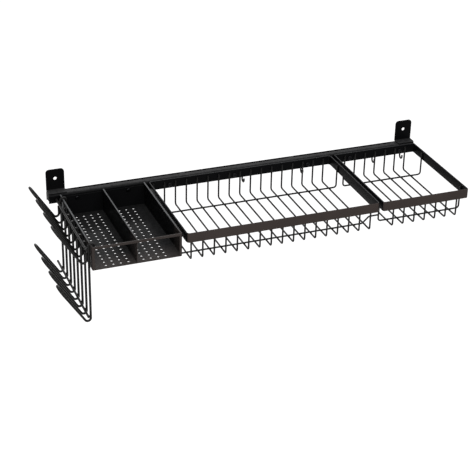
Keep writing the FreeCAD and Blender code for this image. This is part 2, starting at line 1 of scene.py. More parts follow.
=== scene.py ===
"""Wall dish rack in satin black powder coat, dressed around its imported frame.

Each operator builds one piece or one group of like pieces of the rack. Sizes come from the frame's
own boxes where the frame has them, and from the property groups below where it doesn't.
"""

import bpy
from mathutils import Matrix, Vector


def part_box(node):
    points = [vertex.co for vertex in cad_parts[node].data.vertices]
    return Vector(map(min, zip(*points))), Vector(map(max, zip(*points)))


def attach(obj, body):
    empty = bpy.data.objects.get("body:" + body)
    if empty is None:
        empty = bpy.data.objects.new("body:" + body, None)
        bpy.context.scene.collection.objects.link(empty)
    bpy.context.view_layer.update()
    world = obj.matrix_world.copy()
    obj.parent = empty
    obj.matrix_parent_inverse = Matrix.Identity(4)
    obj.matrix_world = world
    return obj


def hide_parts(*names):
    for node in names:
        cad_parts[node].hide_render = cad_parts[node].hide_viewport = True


bl_info = {
    "name": "Wall Dish Rack",
    "version": (1, 0, 0),
    "blender": (4, 5, 0),
    "location": "3D View > Sidebar > Dish Rack",
    "description": "Builds a wall dish rack in powder-coated steel and a plain studio round it",
    "category": "Object",
}

import math

import bmesh
import bpy
from bpy.props import FloatProperty, FloatVectorProperty, IntProperty, PointerProperty
from mathutils import Matrix, Vector

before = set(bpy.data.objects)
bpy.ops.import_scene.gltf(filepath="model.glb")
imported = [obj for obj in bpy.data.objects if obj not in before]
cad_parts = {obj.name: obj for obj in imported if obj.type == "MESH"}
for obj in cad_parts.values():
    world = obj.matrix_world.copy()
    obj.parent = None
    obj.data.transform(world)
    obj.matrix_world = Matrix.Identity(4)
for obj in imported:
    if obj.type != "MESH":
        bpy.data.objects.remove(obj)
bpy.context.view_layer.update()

MM = 0.001
FLAT_ANGLE = math.radians(0.6)
HARD_ANGLE = math.radians(35)
WIRE_HARD_ANGLE = math.radians(60)
MERGE_DISTANCE = 0.005 * MM
EDGE_SEGMENTS = 3
NORMAL_WEIGHT = 80
QUARTER_TURN = 0.5 * math.pi
WHITE = (1.0, 1.0, 1.0, 1.0)
FINISH_OUTPUTS = {"Colour": "NodeSocketColor", "Roughness": "NodeSocketFloat", "Normal": "NodeSocketVector"}
GEOMETRY = {"Geometry": "NodeSocketGeometry"}
SOCKET_KINDS = {
    float: "NodeSocketFloat",
    int: "NodeSocketInt",
    tuple: "NodeSocketColor",
    Vector: "NodeSocketVector",
}


def nodes_named(start):
    """Sorted names of the nodes that begin alike."""
    return [name for name in sorted(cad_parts) if name.startswith(start)]


PLATE_WIRES = nodes_named("plate_wire_")
FRUIT_WIRES = nodes_named("fruit_wire_")
HOOKS = nodes_named("s_hook_")
LOWER_HOLDERS = nodes_named("mug_holder_lower_")
UPPER_HOLDERS = nodes_named("mug_holder_upper_")


def middle(node):
    """Centre of a node's box."""
    low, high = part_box(node)
    return (low + high) / 2


def thickness(node, axis):
    """A node's extent along one axis, 0 for X, 1 for Y and 2 for Z."""
    low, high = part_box(node)
    return high[axis] - low[axis]


# Sizes and colours that a user would change


def length_setting(name, description, default, **limits):
    """Length property."""
    return FloatProperty(name=name, description=description, default=default, unit="LENGTH", **limits)


def angle_setting(name, description, degrees):
    """Angle property."""
    return FloatProperty(name=name, description=description, default=math.radians(degrees), subtype="ANGLE")


def number_setting(name, description, default):
    """Plain number property."""
    return FloatProperty(name=name, description=description, default=default)


def colour_setting(name, description, *default):
    """Colour property."""
    return FloatVectorProperty(name=name, description=description, default=default, subtype="COLOR")


def count_setting(name, description, default, least):
    """Count property."""
    return IntProperty(name=name, description=description, default=default, min=least)


class DISHRACK_PG_wires(bpy.types.PropertyGroup):
    """Bent wires of the racks, holders and hooks"""

    basket_bend: length_setting("Basket Bend", "Bend radius of the cross wires' axis", 4 * MM, min=MM)
    runner_bend: length_setting("Runner Bend", "Bend radius at the runners' ends", 5 * MM, min=MM)
    jog_bend: length_setting("Jog Bend", "Bend radius where the front runner steps up", 6 * MM, min=MM)
    jog_run: length_setting("Jog Run", "Length along which the front runner steps up", 12 * MM, min=MM)
    holder_bend: length_setting("Holder Bend", "Bend radius at the foot of a prong", 5 * MM, min=MM)
    holder_angle: angle_setting("Prong Angle", "Rise of the prongs above level", 57)
    holder_prong: length_setting("Prong Length", "Straight length of a prong", 62 * MM)
    holder_stem: length_setting("Holder Stem", "Length of an upper holder's stem above its fold", 14 * MM)
    crook_bend: length_setting("Crook Bend", "Radius of the crooks over the box's wall", 4.5 * MM)
    crook_reach: length_setting("Crook Reach", "Length of a crook's end inside the box", 10 * MM)
    hook_crook: length_setting("Hook Crook", "Radius of a hook's lower crook, on the wire's axis", 4.5 * MM)
    hook_tip: length_setting("Hook Tip", "Straight tip of a hook's lower crook", 3 * MM)
    hook_clearance: length_setting("Hook Clearance", "Gap between a hook and its rail", 0.3 * MM)
    hook_mouth: angle_setting("Hook Mouth", "End of a hook's upper crook, from the wall side", 210)
    hook_steps: count_setting("Hook Steps", "Lengths of wire in each crook of a hook", 18, 6)
    sides: count_setting("Sides", "Faces round a wire", 16, 6)
    bend_steps: count_setting("Bend Steps", "Points in each bend", 8, 2)


class DISHRACK_PG_sheet(bpy.types.PropertyGroup):
    """Sheet metal and flat bar"""

    fold_edge: length_setting("Sheet Edge", "Rounding of cut sheet edges under the coat", 0.28 * MM)
    screw_edge: length_setting("Screw Edge", "Rounding of screw heads and nuts", 0.18 * MM)
    bar_edge: length_setting("Bar Edge", "Rounding of the flat bar's long edges", 0.55 * MM)
    bar_wall: length_setting("Bar Wall", "Thickness of the flat bar", 2 * MM)
    rack_corner: length_setting("Rack Corner", "Outer corner radius of the plate rack's rim", 6 * MM)
    basket_corner: length_setting("Basket Corner", "Outer corner radius of the basket's rim", 3.5 * MM)
    hem_roll: length_setting("Hem Roll", "Rounding along the hemmed top edges", 0.7 * MM)
    corner_steps: count_setting("Corner Steps", "Points in each rim corner", 10, 3)


class DISHRACK_PG_welds(bpy.types.PropertyGroup):
    """Weld beads under the coat"""

    bead_width: length_setting("Bead Width", "Half width of a weld bead", 0.75 * MM)
    bead_length: length_setting("Bead Length", "Half length of a bead beside a wire", 3.2 * MM)
    bead_wander: length_setting("Bead Wander", "Unevenness of the beads", 0.3 * MM)


class DISHRACK_PG_finish(bpy.types.PropertyGroup):
    """Colours and textures"""

    sheet_colour: colour_setting("Sheet Colour", "Powder coat on the folded sheet", 0.0045, 0.0046, 0.005)
    # The two front colours below are painted light: the box's front and the rims' front bars are paler, as
    # if lit from the front.
    box_front_light_colour: colour_setting("Box Colour", "Powder coat at the cutlery box's front", 0.055, 0.046, 0.043)
    rim_front_light_colour: colour_setting("Rim Colour", "Powder coat on the rims' front bars", 0.062, 0.05, 0.046)
    # The two top colours below are painted highlights along the top edges, as if they caught the light.
    hem_highlight_colour: colour_setting("Hem Colour", "Painted highlight on the box's top edges", 0.17, 0.175, 0.18)
    bar_top_highlight_colour: colour_setting("Bar Top Colour", "Painted highlight on top of the rims", 0.055, 0.056, 0.058)
    wire_colour: colour_setting("Wire Colour", "Powder coat on the wires", 0.0085, 0.0082, 0.008)
    zinc_colour: colour_setting("Zinc Colour", "Black plate on the screws and nuts", 0.012, 0.012, 0.013)
    # The colour and three strengths below pale the faces that look up: part real dusting, part painted
    # sheen.
    dust_and_sheen_colour: colour_setting("Dust Colour", "Dust on faces that look up", 0.22, 0.22, 0.225)
    sheet_dust_and_sheen: number_setting("Sheet Dust", "Strength of the dust on the beam, ears and tabs", 0.45)
    bar_dust_and_sheen: number_setting("Bar Dust", "Strength of the dust on the box and the rims", 0.16)
    wire_dust_and_sheen: number_setting("Wire Dust", "Strength of the dust on the wires", 0.1)
    # The two reaches below spread the painted front light; behind them the box is darker inside and towards
    # its rear, a painted shade.
    box_front_light_reach: length_setting("Box Reach", "Depth over which the box's coat pales to its front", 45 * MM)
    rim_front_light_reach: length_setting("Rim Reach", "Depth over which the rims' coat pales to their front", 2 * MM)
    coat_roughness: number_setting("Coat Roughness", "Mean roughness of the powder coat", 0.33)
    coat_shine: number_setting("Coat Shine", "Specular level of the powder coat on sheet and bar", 0.02)
    wire_shine: number_setting("Wire Shine", "Specular level of the powder coat on wire", 0.14)
    peel_scale: number_setting("Peel Scale", "Bumps per metre in the coat's orange peel", 900.0)
    peel_depth: length_setting("Peel Depth", "Depth of the orange peel", 0.05 * MM)
    zinc_roughness: number_setting("Zinc Roughness", "Mean roughness of the zinc plate", 0.3)


class DISHRACK_PG_studio(bpy.types.PropertyGroup):
    """Floor, light and camera"""

    floor_drop: length_setting("Floor Drop", "Depth of the floor below the wall holes", 0.75)
    floor_half: length_setting("Floor Reach", "Half width of the floor", 14.0)
    floor_colour: colour_setting("Floor Colour", "Colour of the floor", 0.3, 0.3, 0.3)
    floor_glow: number_setting("Floor Glow", "Light of the floor in view and in reflections", 0.97)
    camera_place: FloatVectorProperty(
        name="Camera Place",
        description="Where the camera stands",
        subtype="TRANSLATION",
        default=(-0.8121, -2.0648, 1.0132),
    )
    camera_heading: angle_setting("Camera Heading", "Turn of the view to the right of straight on", 21.49)
    camera_dip: angle_setting("Camera Dip", "How far the view looks down", 27.97)
    camera_roll: angle_setting("Camera Roll", "Turn of the picture about the view", 1.233)
    camera_lens: number_setting("Camera Lens", "Focal length in millimetres on a 36 mm wide sensor", 105.89)
    world_strength: number_setting("World Strength", "Light of the surroundings on the object", 0.15)


# Node groups and materials


def node_group(name, kind, inputs, outputs):
    """Empty node group with named sockets; each input is given by its default, or else by its kind."""
    group = bpy.data.node_groups.new(name, kind)
    for label, given in inputs.items():
        socket_kind = SOCKET_KINDS.get(type(given), given)
        socket = group.interface.new_socket(name=label, in_out="INPUT", socket_type=socket_kind)
        if socket_kind != given:
            socket.default_value = given
    for label, socket_kind in outputs.items():
        group.interface.new_socket(name=label, in_out="OUTPUT", socket_type=socket_kind)
    return group, group.nodes.new("NodeGroupInput"), group.nodes.new("NodeGroupOutput")


def wired(tree, kind, inputs, output=0, **settings):
    """One output of a new node, whose inputs are linked from sockets or set to values."""
    node = tree.nodes.new(kind)
    for name, value in settings.items():
        setattr(node, name, value)
    for key, value in inputs.items():
        if isinstance(value, bpy.types.NodeSocket):
            tree.links.new(value, node.inputs[key])
        else:
            node.inputs[key].default_value = value
    return node.outputs[output]


def math_node(tree, operation, *values, clamp=False):
    """Result of a math node on sockets or numbers."""
    return wired(tree, "ShaderNodeMath", dict(enumerate(values)), operation=operation, use_clamp=clamp)


def noise_node(tree, vector, scale, detail=2.0, roughness=0.5):
    """Noise texture on a coordinate; scale is a socket or a number."""
    inputs = {"Vector": vector, "Scale": scale, "Detail": detail, "Roughness": roughness}
    return wired(tree, "ShaderNodeTexNoise", inputs, "Fac")


def mix_colour(tree, share, first, second):
    """Mix of two colour sockets by a share."""
    return wired(tree, "ShaderNodeMix", {"Factor": share, 6: first, 7: second}, 2, data_type="RGBA")


def bump_node(tree, height, strength, depth):
    """Normal of a bump from a height socket; depth is a socket or a number."""
    return wired(tree, "ShaderNodeBump", {"Strength": strength, "Distance": depth, "Height": height})


def shaded(tree, tint, value):
    """A colour socket made lighter or darker by a factor socket."""
    return wired(tree, "ShaderNodeHueSaturation", {"Color": tint, "Value": value})


def powder_coat_group():
    """Orange peel, slow tone drift, and faces that look up made paler: part real dusting, part painted
    sheen.
    """
    inputs = {
        "Colour": (0.02, 0.02, 0.02, 1.0),
        "Dust Colour": (0.2, 0.2, 0.2, 1.0),
        "Dust And Sheen": 0.1,
        "Roughness": 0.4,
        "Peel Scale": 900.0,
        "Peel Depth": 0.05 * MM,
    }
    group, source, result = node_group("powder_coat", "ShaderNodeTree", inputs, FINISH_OUTPUTS)
    drift_scale, cloud_scale, speck_scale = 14.0, 160.0, 2600.0
    steepness, fleck_floor, fleck_strength = 3.0, 0.72, 0.6
    tone_span, darkest_tone = 0.5, 0.75
    cloud_roughening, dust_and_sheen_roughening = 0.18, 0.5
    place = group.nodes.new("ShaderNodeTexCoord").outputs["Object"]
    normal = group.nodes.new("ShaderNodeNewGeometry").outputs["Normal"]
    lift = wired(group, "ShaderNodeSeparateXYZ", {0: normal}, "Z")
    # Faces that look up are paled towards the dusting colour: part real dusting, part painted sheen.
    upward = math_node(group, "POWER", math_node(group, "MAXIMUM", lift, 0.0), steepness)
    drift = noise_node(group, place, drift_scale, 3.0)
    cloud = noise_node(group, place, cloud_scale, 4.0, 0.6)
    speck = noise_node(group, place, speck_scale, 1.0)
    veil = math_node(group, "MULTIPLY", upward, source.outputs["Dust And Sheen"])
    veil = math_node(group, "MULTIPLY", veil, cloud, clamp=True)
    fleck = math_node(group, "SUBTRACT", speck, fleck_floor, clamp=True)
    fleck = math_node(group, "MULTIPLY", fleck, fleck_strength)
    share = math_node(group, "ADD", veil, fleck, clamp=True)
    tint = mix_colour(group, share, source.outputs["Colour"], source.outputs["Dust Colour"])
    tone = math_node(group, "MULTIPLY_ADD", drift, tone_span, darkest_tone)
    group.links.new(shaded(group, tint, tone), result.inputs["Colour"])
    rough = math_node(group, "MULTIPLY", math_node(group, "SUBTRACT", cloud, 0.5), cloud_roughening)
    rough = math_node(group, "ADD", rough, source.outputs["Roughness"])
    rough = math_node(group, "ADD", rough, math_node(group, "MULTIPLY", veil, dust_and_sheen_roughening))
    group.links.new(rough, result.inputs["Roughness"])
    peel = noise_node(group, place, source.outputs["Peel Scale"], 1.5, 0.4)
    group.links.new(bump_node(group, peel, 1.0, source.outputs["Peel Depth"]), result.inputs["Normal"])
    return group


def painted_light_tone_group():
    """Colour of a piece with a painted highlight along its top line, and a front painted paler, as if lit,
    ahead of a plane across Y.
    """
    inputs = {
        "Colour": (0.02, 0.02, 0.02, 1.0),
        "Top Colour": (0.1, 0.1, 0.1, 1.0),
        "Top Place": 0.0,
        "Front Colour": (0.05, 0.05, 0.05, 1.0),
        "Front Place": -0.2,
        "Front Reach": 2 * MM,
    }
    group, source, result = node_group("painted_light_tone", "ShaderNodeTree", inputs, {"Colour": "NodeSocketColor"})
    top_reach, front_reach = 0.3 * MM, source.outputs["Front Reach"]
    place = group.nodes.new("ShaderNodeTexCoord").outputs["Object"]
    height = wired(group, "ShaderNodeSeparateXYZ", {0: place}, "Z")
    depth = wired(group, "ShaderNodeSeparateXYZ", {0: place}, "Y")
    above = math_node(group, "SUBTRACT", height, source.outputs["Top Place"])
    ahead = math_node(group, "SUBTRACT", source.outputs["Front Place"], depth)
    tone = source.outputs["Colour"]
    # Top: a painted highlight; Front: painted front light.
    for distance, reach, label in ((above, top_reach, "Top"), (ahead, front_reach, "Front")):
        share = math_node(group, "DIVIDE", distance, reach, clamp=True)
        tone = mix_colour(group, share, tone, source.outputs[label + " Colour"])
    group.links.new(tone, result.inputs["Colour"])
    return group


def zinc_group():
    """Zinc plate: fine turning marks, small stains and a rougher bloom."""
    inputs = {"Colour": (0.6, 0.6, 0.6, 1.0), "Roughness": 0.3}
    group, source, result = node_group("zinc_plate", "ShaderNodeTree", inputs, FINISH_OUTPUTS)
    bloom_scale, grain_scale = 420.0, 3600.0
    tone_span, darkest_tone = 0.5, 0.72
    rough_span, least_rough = 0.3, -0.12
    grain_strength, grain_depth = 0.35, 0.02 * MM
    place = group.nodes.new("ShaderNodeTexCoord").outputs["Object"]
    bloom = noise_node(group, place, bloom_scale, 5.0, 0.65)
    grain = noise_node(group, place, grain_scale, 2.0)
    tone = math_node(group, "MULTIPLY_ADD", bloom, tone_span, darkest_tone)
    group.links.new(shaded(group, source.outputs["Colour"], tone), result.inputs["Colour"])
    rough = math_node(group, "MULTIPLY_ADD", bloom, rough_span, least_rough)
    group.links.new(math_node(group, "ADD", rough, source.outputs["Roughness"]), result.inputs["Roughness"])
    group.links.new(bump_node(group, grain, grain_strength, grain_depth), result.inputs["Normal"])
    return group


def surface(name, group, values, metallic=0.0, shine=0.5):
    """Material with one Principled shader fed by a group's colour, roughness and normal."""
    material = bpy.data.materials.new(name)
    material.use_nodes = True
    tree = material.node_tree
    shader = tree.nodes["Principled BSDF"]
    shader.inputs["Metallic"].default_value = metallic
    shader.inputs["Specular IOR Level"].default_value = shine
    node = tree.nodes.new("ShaderNodeGroup")
    node.node_tree = group
    for label, value in values.items():
        node.inputs[label].default_value = value
    for label, target in (("Colour", "Base Color"), ("Roughness", "Roughness"), ("Normal", "Normal")):
        tree.links.new(node.outputs[label], shader.inputs[target])
    return material


def coat(name, colour, dust_and_sheen, shine, places=None):
    """One powder coat, kept under its name once made; places holds the inputs of its painted highlight and
    painted front light.
    """
    if name in bpy.data.materials:
        return bpy.data.materials[name]
    finish = bpy.context.scene.dishrack_finish
    group = bpy.data.node_groups.get("powder_coat") or powder_coat_group()
    values = {
        "Colour": (*colour, 1.0),
        "Dust Colour": (*finish.dust_and_sheen_colour, 1.0),
        "Dust And Sheen": dust_and_sheen,
        "Roughness": finish.coat_roughness,
        "Peel Scale": finish.peel_scale,
        "Peel Depth": finish.peel_depth,
    }
    material = surface(name, group, values, shine=shine)
    if places:
        tree = material.node_tree
        base = next(item for item in tree.nodes if item.type == "GROUP")
        group = bpy.data.node_groups.get("painted_light_tone") or painted_light_tone_group()
        inputs = {"Colour": (*colour, 1.0), **places}
        tone = wired(tree, "ShaderNodeGroup", inputs, "Colour", node_tree=group)
        tree.links.new(tone, base.inputs["Colour"])
    return material


def sheet_coat():
    """Coat of the beam, ears and tabs."""
    finish = bpy.context.scene.dishrack_finish
    return coat("sheet_powder", finish.sheet_colour, finish.sheet_dust_and_sheen, finish.coat_shine)


def wire_coat():
    """Coat of every wire."""
    finish = bpy.context.scene.dishrack_finish
    return coat("wire_powder", finish.wire_colour, finish.wire_dust_and_sheen, finish.wire_shine)


def painted_light_coat(name, node, top_highlight_colour, front_light_colour, reach):
    """Coat as dark as the sheet's, with a painted highlight along the top line and a front painted paler, as
    if lit, over a reach.
    """
    finish = bpy.context.scene.dishrack_finish
    sizes = bpy.context.scene.dishrack_sheet
    full_share = 0.6
    low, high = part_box(node)
    # Painted highlight above the top place, painted front light ahead of the front place.
    places = {
        "Top Colour": (*top_highlight_colour, 1.0),
        "Top Place": high.z - sizes.bar_edge,
        "Front Colour": (*front_light_colour, 1.0),
        "Front Place": low.y + sizes.bar_wall * full_share + reach,
        "Front Reach": reach,
    }
    return coat(name, finish.sheet_colour, finish.bar_dust_and_sheen, finish.coat_shine, places)


def rim_coat():
    """Coat of both rims, with a painted highlight on top and painted front light on the front bars."""
    finish = bpy.context.scene.dishrack_finish
    colours = (finish.bar_top_highlight_colour, finish.rim_front_light_colour)
    return painted_light_coat("rim_powder_painted_light", "plate_rack_rim", *colours, finish.rim_front_light_reach)


def box_coat():
    """Coat of the cutlery box and its divider, with painted highlights on the top edges and painted front
    light that fades over a reach, leaving the inside and rear darker as painted shade.
    """
    finish = bpy.context.scene.dishrack_finish
    colours = (finish.hem_highlight_colour, finish.box_front_light_colour)
    return painted_light_coat("box_powder_painted_light", "cutlery_box", *colours, finish.box_front_light_reach)


def black_zinc():
    """Black zinc plate, kept under its name once made."""
    finish = bpy.context.scene.dishrack_finish
    name = "black_zinc_plate"
    values = {"Colour": (*finish.zinc_colour, 1.0), "Roughness": finish.zinc_roughness}
    return bpy.data.materials.get(name) or surface(name, zinc_group(), values, metallic=1.0)


# Mesh helpers


def new_piece(name, mesh, material=None):
    """Object at the origin for a finished mesh."""
    piece = bpy.data.objects.new(name, mesh)
    bpy.context.scene.collection.objects.link(piece)
    if material:
        mesh.materials.clear()
        mesh.materials.append(material)
    return piece


def hand_over(piece, body, nodes):
    """Tell the frame what a finished piece rides on and what it stands for."""
    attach(piece, body)
    if nodes:
        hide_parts(*nodes)


def smooth(mesh, angle):
    """Smooth faces with hard edges above an angle."""
    mesh.shade_smooth()
    mesh.set_sharp_from_angle(angle=angle)


def softened_copy(name, node, width, material, roll=None, roll_test=None):
    """Merged copy of a node with every hard edge rounded, some of them by a larger roll."""
    work = bmesh.new()
    work.from_mesh(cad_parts[node].data)
    bmesh.ops.remove_doubles(work, verts=work.verts, dist=MERGE_DISTANCE)
    bmesh.ops.dissolve_limit(work, angle_limit=FLAT_ANGLE, verts=work.verts, edges=work.edges)
    largest = max(width, roll or 0.0)
    weight = work.edges.layers.float.new("bevel_weight_edge")
    for edge in work.edges:
        if len(edge.link_faces) == 2 and edge.calc_face_angle() > HARD_ANGLE:
            rolled = roll_test and roll_test(edge)
            edge[weight] = (roll if rolled else width) / largest
    mesh = bpy.data.meshes.new(name)
    work.to_mesh(mesh)
    work.free()
    mesh.polygons.foreach_set("use_smooth", [True] * len(mesh.polygons))
    piece = new_piece(name, mesh, material)
    bevel = piece.modifiers.new("Rounded Edges", "BEVEL")
    bevel.limit_method = "WEIGHT"
    bevel.width = largest
    bevel.segments = EDGE_SEGMENTS
    bevel.use_clamp_overlap = True
    flat = piece.modifiers.new("Flat Faces Stay Flat", "WEIGHTED_NORMAL")
    flat.mode = "FACE_AREA"
    flat.weight = NORMAL_WEIGHT
    bake_modifiers(piece)
    return piece


def bake_modifiers(piece):
    """Turn the evaluated object into a plain mesh and drop its modifiers."""
    graph = bpy.context.evaluated_depsgraph_get()
    final = piece.evaluated_get(graph)
    mesh = bpy.data.meshes.new_from_object(final, preserve_all_data_layers=False, depsgraph=graph)
    old = piece.data
    piece.modifiers.clear()
    piece.data = mesh
    mesh.name = piece.name
    bpy.data.meshes.remove(old)


def set_input(modifier, label, value):
    """Set a Geometry Nodes input by the identifier behind its label."""
    for item in modifier.node_group.interface.items_tree:
        if item.item_type == "SOCKET" and item.in_out == "INPUT" and item.name == label:
            modifier[item.identifier] = value
            return
    raise KeyError(label)


def attribute_node(tree, name, kind):
    """A named attribute's output."""
    return wired(tree, "GeometryNodeInputNamedAttribute", {"Name": name}, "Attribute", data_type=kind)


def finish_tree(tree, geometry, source, result):
    """Realize Instances, Set Material and the output, which end every tree."""
    real = wired(tree, "GeometryNodeRealizeInstances", {0: geometry})
    inputs = {"Geometry": real, "Material": source.outputs["Material"]}
    painted = wired(tree, "GeometryNodeSetMaterial", inputs)
    tree.links.new(painted, result.inputs["Geometry"])


def bent_wire_tree():
    """Round wire along a route of edges, filleted at its points and repeated along a line."""
    if "bent_wire" in bpy.data.node_groups:
        return bpy.data.node_groups["bent_wire"]
    inputs = {
        **GEOMETRY,
        "Wire Radius": 1.5 * MM,
        "Sides": 16,
        "Bend Steps": 8,
        "Count": 1,
        "Pitch": Vector(),
        "Material": "NodeSocketMaterial",
    }
    tree, source, result = node_group("bent_wire", "GeometryNodeTree", inputs, GEOMETRY)
    tree.is_modifier = True
    given = source.outputs
    bend, share = [attribute_node(tree, name, "FLOAT") for name in ("bend", "share")]
    curve = wired(tree, "GeometryNodeMeshToCurve", {"Mesh": given["Geometry"]})
    inputs = {"Curve": curve, "Count": given["Bend Steps"], "Radius": bend}
    curve = wired(tree, "GeometryNodeFilletCurve", inputs, mode="POLY")
    curve = wired(tree, "GeometryNodeSetCurveRadius", {"Curve": curve, "Radius": share})
    inputs = {"Resolution": given["Sides"], "Radius": given["Wire Radius"]}
    circle = wired(tree, "GeometryNodeCurvePrimitiveCircle", inputs)
    inputs = {"Curve": curve, "Profile Curve": circle, "Fill Caps": True}
    tube = wired(tree, "GeometryNodeCurveToMesh", inputs)
    line = wired(tree, "GeometryNodeMeshLine", {"Count": given["Count"], "Offset": given["Pitch"]})
    copies = wired(tree, "GeometryNodeInstanceOnPoints", {"Points": line, "Instance": tube})
    finish_tree(tree, copies, source, result)
    return tree


def route_mesh(name, points, bends, wire_radius):
    """Open chain of edges with a bend radius at each inner point and rounded ends."""
    start_way = (points[1] - points[0]).normalized()
    end_way = (points[-2] - points[-1]).normalized()
    dome_angles = [math.radians(angle) for angle in (12, 35, 60)]
    domes = [(wire_radius * (1 - math.cos(angle)), math.sin(angle)) for angle in dome_angles]
    domes.append((wire_radius, 1.0))
    chain = [(points[0] + start_way * inset, 0.0, share) for inset, share in domes]
    for point, bend in zip(points[1:-1], bends):
        chain.append((point, bend, 1.0))
    for inset, share in reversed(domes):
        chain.append((points[-1] + end_way * inset, 0.0, share))
    mesh = bpy.data.meshes.new(name)
    edges = [(index, index + 1) for index in range(len(chain) - 1)]
    mesh.from_pydata([item[0] for item in chain], edges, [])
    for label, column in (("bend", 1), ("share", 2)):
        layer = mesh.attributes.new(label, "FLOAT", "POINT")
        layer.data.foreach_set("value", [item[column] for item in chain])
    return mesh


def bent_wire(name, points, bends, wire_radius, count=1, pitch=Vector()):
    """Finished wire piece, repeated count times."""
    sizes = bpy.context.scene.dishrack_wires
    points = [Vector(point) for point in points]
    piece = new_piece(name, route_mesh(name, points, bends, wire_radius))
    modifier = piece.modifiers.new("Bent Wire", "NODES")
    modifier.node_group = bent_wire_tree()
    inputs = {
        "Wire Radius": wire_radius,
        "Sides": sizes.sides,
        "Bend Steps": sizes.bend_steps,
        "Count": count,
        "Pitch": list(pitch),
        "Material": wire_coat(),
    }
    for label, value in inputs.items():
        set_input(modifier, label, value)
    bake_modifiers(piece)
    smooth(piece.data, WIRE_HARD_ANGLE)
    return piece


def trough(node, along):
    """Corner points and wire radius of a square U wire that runs along one axis, 0 for X and 1 for Y."""
    low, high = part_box(node)
    radius = thickness(node, 1 - along) / 2
    start, end = middle(node), middle(node)
    start[along] = low[along] + radius
    end[along] = high[along] - radius
    bottom = low.z + radius
    places = ((start, high.z), (start, bottom), (end, bottom), (end, high.z))
    return [(place.x, place.y, z) for place, z in places], radius


def bead_tree():
    """Uneven weld beads on points that carry a stretch for each axis."""
    if "weld_beads" in bpy.data.node_groups:
        return bpy.data.node_groups["weld_beads"]
    inputs = {**GEOMETRY, "Wander": 0.2 * MM, "Ripples": 700.0, "Material": "NodeSocketMaterial"}
    tree, source, result = node_group("weld_beads", "GeometryNodeTree", inputs, GEOMETRY)
    tree.is_modifier = True
    given = source.outputs
    ball = wired(tree, "GeometryNodeMeshIcoSphere", {"Radius": 1.0, "Subdivisions": 3})
    stretch = attribute_node(tree, "stretch", "FLOAT_VECTOR")
    inputs = {"Points": given["Geometry"], "Instance": ball, "Scale": stretch}
    copies = wired(tree, "GeometryNodeInstanceOnPoints", inputs)
    real = wired(tree, "GeometryNodeRealizeInstances", {0: copies})
    noise = wired(tree, "ShaderNodeTexNoise", {"Scale": given["Ripples"]}, "Fac")
    push = math_node(tree, "MULTIPLY", math_node(tree, "SUBTRACT", noise, 0.5), given["Wander"])
    normal = tree.nodes.new("GeometryNodeInputNormal").outputs[0]
    offset = wired(tree, "ShaderNodeVectorMath", {0: normal, "Scale": push}, operation="SCALE")
    moved = wired(tree, "GeometryNodeSetPosition", {"Geometry": real, "Offset": offset})
    finish_tree(tree, moved, source, result)
    return tree


def weld_beads(name, beads):
    """Piece of beads, each given as a place and its half sizes."""
    mesh = bpy.data.meshes.new(name)
    mesh.from_pydata([place for place, stretch in beads], [], [])
    layer = mesh.attributes.new("stretch", "FLOAT_VECTOR", "POINT")
    layer.data.foreach_set("vector", [value for place, stretch in beads for value in stretch])
    piece = new_piece(name, mesh)
    modifier = piece.modifiers.new("Weld Beads", "NODES")
    modifier.node_group = bead_tree()
    set_input(modifier, "Wander", bpy.context.scene.dishrack_welds.bead_wander)
    set_input(modifier, "Material", wire_coat())
    bake_modifiers(piece)
    piece.data.shade_smooth()
    return piece


def rounded_loop(low, high, corner, steps):
    """Points of a level rounded rectangle, each with its outward direction."""
    loop = []
    corners = (
        (high.x - corner, high.y - corner),
        (low.x + corner, high.y - corner),
        (low.x + corner, low.y + corner),
        (high.x - corner, low.y + corner),
    )
    for turns, (x, y) in enumerate(corners):
        for step in range(steps + 1):
            angle = QUARTER_TURN * (turns + step / steps)
            outward = Vector((math.cos(angle), math.sin(angle), 0.0))
            loop.append((Vector((x, y, 0.0)) + outward * corner, outward))
    return loop


def bar_section(wall, low, high, edge):
    """Rounded cross section of an upright flat bar, as pairs of inset and height."""
    section = []
    corners = (
        (edge, low + edge, 1.0, -1.0),
        (wall - edge, low + edge, -1.0, -1.0),
        (wall - edge, high - edge, -1.0, 1.0),
        (edge, high - edge, 1.0, 1.0),
    )
    for number, (across, up, side, rise) in enumerate(corners):
        for step in range(EDGE_SEGMENTS + 1):
            angle = QUARTER_TURN * (step / EDGE_SEGMENTS)
            if number % 2:
                angle = QUARTER_TURN - angle
            section.append((across - side * edge * math.cos(angle), up + rise * edge * math.sin(angle)))
    return section


def sweep_loop(name, loop, section, material):
    """Closed bar swept round a closed loop."""
    work = bmesh.new()
    rings = []
    for place, outward in loop:
        corners = [place - outward * inset + Vector((0.0, 0.0, height)) for inset, height in section]
        rings.append([work.verts.new(corner) for corner in corners])
    for before, after in zip(rings, rings[1:] + rings[:1]):
        for index in range(len(section)):
            follow = (index + 1) % len(section)
            work.faces.new((before[index], after[index], after[follow], before[follow]))
    bmesh.ops.recalc_face_normals(work, faces=work.faces)
    mesh = bpy.data.meshes.new(name)
    work.to_mesh(mesh)
    work.free()
    smooth(mesh, HARD_ANGLE)
    return new_piece(name, mesh, material)


# The rack's pieces


class DISHRACK_OT_wall_brackets(bpy.types.Operator):
    """Folded ears that hold the rack on the wall"""

    bl_idname = "dishrack.wall_brackets"
    bl_label = "Wall Brackets"

    def execute(self, context):
        edge = context.scene.dishrack_sheet.fold_edge
        for side in ("left", "right"):
            node = "wall_bracket_" + side
            piece = softened_copy("bracket_" + side, node, edge, sheet_coat())
            hand_over(piece, "rack", [node])
        return {"FINISHED"}


class DISHRACK_OT_beam(bpy.types.Operator):
    """Folded beam with its long slots"""

    bl_idname = "dishrack.beam"
    bl_label = "Beam"

    def execute(self, context):
        edge = context.scene.dishrack_sheet.fold_edge
        piece = softened_copy("beam", "rear_beam", edge, sheet_coat())
        hand_over(piece, "rack", ["rear_beam"])
        return {"FINISHED"}


